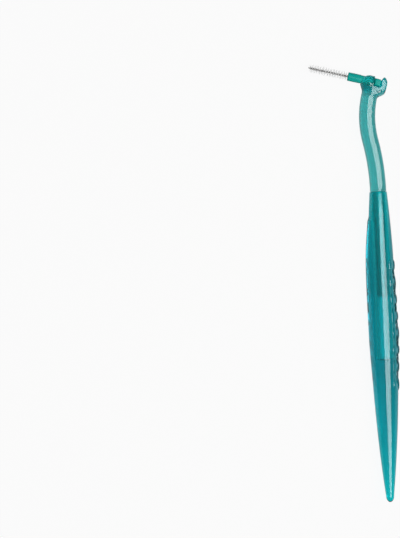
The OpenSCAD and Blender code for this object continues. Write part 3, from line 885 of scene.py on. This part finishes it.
def paper(name):
    """Pale floor. What the camera, a mirror or clear plastic sees of it is partly plain white, by a share
    for each, and the rest of it is a plain pale surface that takes the brush's shadow."""
    material, shader, add, join = finish(name)
    to_camera, to_mirror, to_plastic = 0.93, 0.1, 0.24
    dim, pale = (0.49,) * 3, (0.52,) * 3
    grain = between(add, join, mottle(add, join, patches=300.0))
    join(two_tone(add, join, grain, dim, pale), shader.inputs["Base Color"])
    shader.inputs["Roughness"].default_value = 0.9
    rays, glow = add("ShaderNodeLightPath"), add("ShaderNodeEmission")
    glow.inputs["Color"].default_value = (1, 1, 1, 1)
    white = scaled(add, join, rays.outputs["Is Glossy Ray"], to_mirror)
    white = scaled(add, join, rays.outputs["Is Transmission Ray"], to_plastic, white)
    white = scaled(add, join, rays.outputs["Is Camera Ray"], to_camera, white)
    cover(material, add, join, white, shader.outputs["BSDF"], glow.outputs["Emission"])
    return material


# Operators


def settings():
    """The brush's settings in the scene."""
    return bpy.context.scene.interdental_brush


def brush_piece(name, surface, material, node, slot):
    """Makes a piece of the wire brush and sets it in the head. Its surface is worked out about the
    head's middle."""
    s = settings()
    places, faces = surface(s.brush)
    places = from_head(s.neck, s.handle.mouth_y, places)
    piece(name, places, faces, material, "brush", node, slot)


class AddHandle(bpy.types.Operator):
    """Build the handle with its thumb pad, droplets and blind bore"""

    bl_idname = "interdental.handle"
    bl_label = "Handle"

    def execute(self, context):
        s = settings()
        # The bore keeps a little less of the tint where the tang lies in it: painted shade
        plastic = clear_plastic(
            "handle_clear_plastic", s.finish.handle_tint, s.finish.handle_deep, s.finish.handle_density,
            roughness=0.08, clarity=0.965, joint=(JOINT_R, *BORE_JOINT_Y), joint_shade_kept=0.9, joint_matt=0.3,
        )  # fmt: skip
        piece("handle_moulding", *handle_surface(s.handle), plastic, "holder", "handle", "handle_plastic")
        return {"FINISHED"}


class AddNeck(bpy.types.Operator):
    """Build the bent neck with its tang, ball, heel and seat"""

    bl_idname = "interdental.neck"
    bl_label = "Neck"

    def execute(self, context):
        s = settings()
        mouth_y = s.handle.mouth_y
        # The tang keeps about half the tint, painted shade for its dark core, and the tint deepens over the
        # head, painted shade
        plastic = clear_plastic(
            "neck_clear_plastic", s.finish.neck_tint, s.finish.neck_deep, s.finish.neck_density,
            roughness=0.05, clarity=0.97, joint=(JOINT_R, mouth_y, mouth_y - TANG_JOINT_LEN),
            joint_shade_kept=0.52, joint_matt=0.2, head_shade=HEAD_SHADE_Y,
        )  # fmt: skip
        places, faces = neck_surface(s.neck, mouth_y)
        piece("neck_moulding", places, faces, plastic, "holder", "neck", "neck_plastic")
        return {"FINISHED"}


class AddShaft(bpy.types.Operator):
    """Build the brush's moulded shaft with its crossbar"""

    bl_idname = "interdental.shaft"
    bl_label = "Brush shaft"

    def execute(self, context):
        plastic = shaft_plastic("shaft_satin_plastic", settings().finish.shaft)
        brush_piece("shaft_moulding", shaft_surface, plastic, "brush_shaft", "shaft_plastic")
        return {"FINISHED"}


class AddWire(bpy.types.Operator):
    """Build the folded and twisted core wire"""

    bl_idname = "interdental.wire"
    bl_label = "Core wire"

    def execute(self, context):
        steel = drawn_steel("wire_drawn_steel", settings().neck.brush_rise)
        brush_piece("twisted_wire", wire_surface, steel, "core_wire", "wire_steel")
        return {"FINISHED"}


class AddBristles(bpy.types.Operator):
    """Build the nylon bristles nipped in the wire"""

    bl_idname = "interdental.bristles"
    bl_label = "Bristles"

    def execute(self, context):
        milky = nylon("bristle_nylon")
        brush_piece("nylon_bristles", bristle_surface, milky, "bristles", "bristle_nylon")
        return {"FINISHED"}


def pale_floor():
    """Flat floor just under the brush, wide enough to fill every view."""
    z, reach = cad_box[0][2] - 0.00002, 3.0
    corners = [(x * reach, y * reach, z) for x, y in ((-1, -1), (1, -1), (1, 1), (-1, 1))]
    mesh = bpy.data.meshes.new("floor")
    mesh.from_pydata(corners, [], [(0, 1, 2, 3)])
    mesh.materials.append(paper("pale_paper"))
    floor = bpy.data.objects.new("floor", mesh)
    bpy.context.scene.collection.objects.link(floor)


def softbox(name, place, target, size, radiance):
    """Rectangular lamp that faces a point, with its second side in the handle's direction."""
    lamp = bpy.data.lights.new(name, "AREA")
    lamp.shape, lamp.size, lamp.size_y = "RECTANGLE", *size
    lamp.energy = radiance * math.pi * size[0] * size[1]
    back = (Vector(place) - Vector(target)).normalized()
    across = Vector((0, 1, 0)).cross(back).normalized()
    turned = Matrix((across, back.cross(across), back)).transposed().to_4x4()
    made = bpy.data.objects.new(name, lamp)
    made.matrix_world = Matrix.Translation(place) @ turned
    bpy.context.scene.collection.objects.link(made)


def studio_sky():
    """Even white surroundings, dimmer near the horizon and brighter to what shines through the plastic."""
    low, high, through = 0.1, 0.2, 0.35
    world = bpy.data.worlds.new("studio")
    world.use_nodes = True
    add, join = tools(world.node_tree)
    sky = next(n for n in world.node_tree.nodes if n.type == "BACKGROUND")
    sky.inputs["Color"].default_value = (1, 1, 1, 1)
    where, split, rays = add("ShaderNodeTexCoord"), add("ShaderNodeSeparateXYZ"), add("ShaderNodeLightPath")
    join(where.outputs["Generated"], split.inputs["Vector"])
    glow = between(add, join, split.outputs["Z"], low, high, start=0.2, end=0.8)
    join(scaled(add, join, rays.outputs["Is Transmission Ray"], through, glow), sky.inputs["Strength"])
    bpy.context.scene.world = world


def overhead_camera(s):
    """Camera square to the plane of the bends, which it shows at the height of the view."""
    lens = bpy.data.cameras.new("camera")
    lens.sensor_width = 36.0
    lens.lens = lens.sensor_width * s.away / s.tall
    lens.clip_start, lens.clip_end = 0.01, 20.0
    camera = bpy.data.objects.new("camera", lens)
    camera.location = (*s.centre, s.away)
    camera.rotation_euler = (0, 0, s.roll)
    bpy.context.scene.collection.objects.link(camera)
    bpy.context.scene.camera = camera


class AddStage(bpy.types.Operator):
    """Lay the pale floor, light it softly and set the camera over the brush"""

    bl_idname = "interdental.stage"
    bl_label = "Stage"

    def execute(self, context):
        pale_floor()
        place, target = (0.31, -0.075, 0.85), (0, -0.075, 0)
        softbox("soft_lamp", place, target, size=(0.72, 0.54), radiance=6.2)
        studio_sky()
        overhead_camera(settings().stage)
        context.scene.view_settings.view_transform = "Standard"
        return {"FINISHED"}


class BrushSettingsAll(bpy.types.PropertyGroup):
    """All settings of the brush and its stage."""

    handle: PointerProperty(type=HandleSettings)
    neck: PointerProperty(type=NeckSettings)
    brush: PointerProperty(type=BrushSettings)
    finish: PointerProperty(type=FinishSettings)
    stage: PointerProperty(type=StageSettings)


OPERATORS = (AddHandle, AddNeck, AddShaft, AddWire, AddBristles, AddStage)


class BrushPanel(bpy.types.Panel):
    """Buttons for the brush's pieces, in the order in which they are built"""

    bl_idname = "INTERDENTAL_PT_brush"
    bl_label = "Interdental Brush"
    bl_space_type = "VIEW_3D"
    bl_region_type = "UI"
    bl_category = "Brush"

    def draw(self, context):
        """A button for each operator, and a box with each group of settings."""
        column = self.layout.column()
        for operator in OPERATORS:
            column.operator(operator.bl_idname)
        s = settings()
        for group in (s.handle, s.neck, s.brush, s.finish, s.stage):
            box = self.layout.box()
            for name in group.bl_rna.properties.keys():
                if name not in ("rna_type", "name"):
                    box.prop(group, name)


CLASSES = (
    HandleSettings, NeckSettings, BrushSettings, FinishSettings, StageSettings, BrushSettingsAll,
    *OPERATORS, BrushPanel,
)  # fmt: skip


def register():
    """Registers the classes and gives the scene its settings."""
    for item in CLASSES:
        bpy.utils.register_class(item)
    bpy.types.Scene.interdental_brush = PointerProperty(type=BrushSettingsAll)


def unregister():
    """Takes the settings and the classes away again."""
    del bpy.types.Scene.interdental_brush
    for item in reversed(CLASSES):
        bpy.utils.unregister_class(item)


def main():
    """Builds the whole scene."""
    register()
    bpy.ops.interdental.handle()
    bpy.ops.interdental.neck()
    bpy.ops.interdental.shaft()
    bpy.ops.interdental.wire()
    bpy.ops.interdental.bristles()
    bpy.ops.interdental.stage()


if __name__ == "__main__":
    main()
